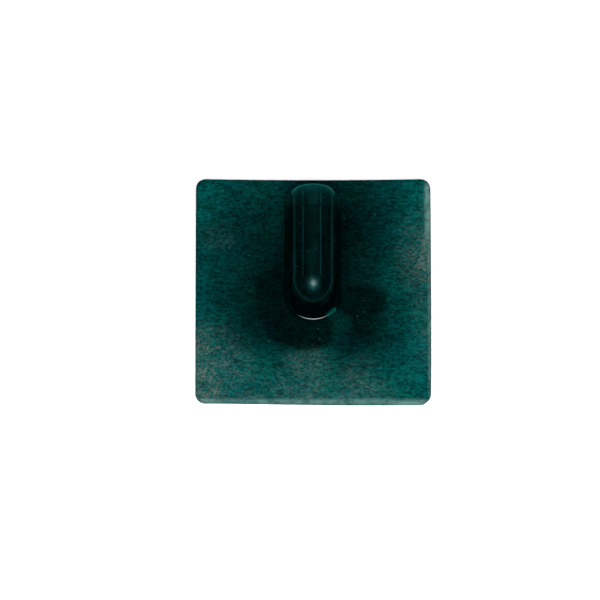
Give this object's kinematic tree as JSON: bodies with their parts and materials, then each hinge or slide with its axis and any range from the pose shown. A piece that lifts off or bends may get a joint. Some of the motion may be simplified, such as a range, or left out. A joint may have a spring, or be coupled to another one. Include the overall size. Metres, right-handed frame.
{
  "type": "mortar hawk",
  "caption": "Square plastic mortar hawk; its round grip folds flat along a long round-ended base plate and is held folded or upright by a sprung detent.",
  "frame": {"origin": "centre of the flat working face, which carries the mortar", "axes": "+Z from the working face to the handle side, +Y along the folded grip towards its end cap, +X along the hinge pin"},
  "size_m": [0.2, 0.2, 0.0554],
  "materials": {
    "board_plastic": "dark teal, matt, scuffed and dusty",
    "grip_plastic": "very dark teal, glossy",
    "steel": "zinc-plated steel",
    "blackened_steel": "dark teal lacquered pin heads",
    "spring_steel": "drawn wire",
    "brass": "turned, knurled outside",
    "bearing_plastic": "natural acetal"
  },
  "bodies": {
    "board_body": {"board": "board_plastic", "hinge_base": "grip_plastic", "pivot_bush": "brass", "base_inserts": "brass", "base_screws": "steel"},
    "handle": {"grip_body": "grip_plastic", "end_cap": "grip_plastic", "pivot_barrel": "blackened_steel", "pivot_screw": "blackened_steel", "thrust_washers": "bearing_plastic", "detent_spring": "spring_steel", "spring_plug": "brass"},
    "plunger": {"detent_plunger": "steel"}
  },
  "joints": [
    {"name": "handle_fold", "type": "hinge", "parent": "board_body", "child": "handle", "pos_m": [0, 0, 0.0354], "axis": [1, 0, 0], "range_deg": [0, 90]},
    {"name": "plunger_slide", "type": "slide", "parent": "handle", "child": "plunger", "axis": [0, -1, 0], "range_m": [0, 0.001]}
  ]
}
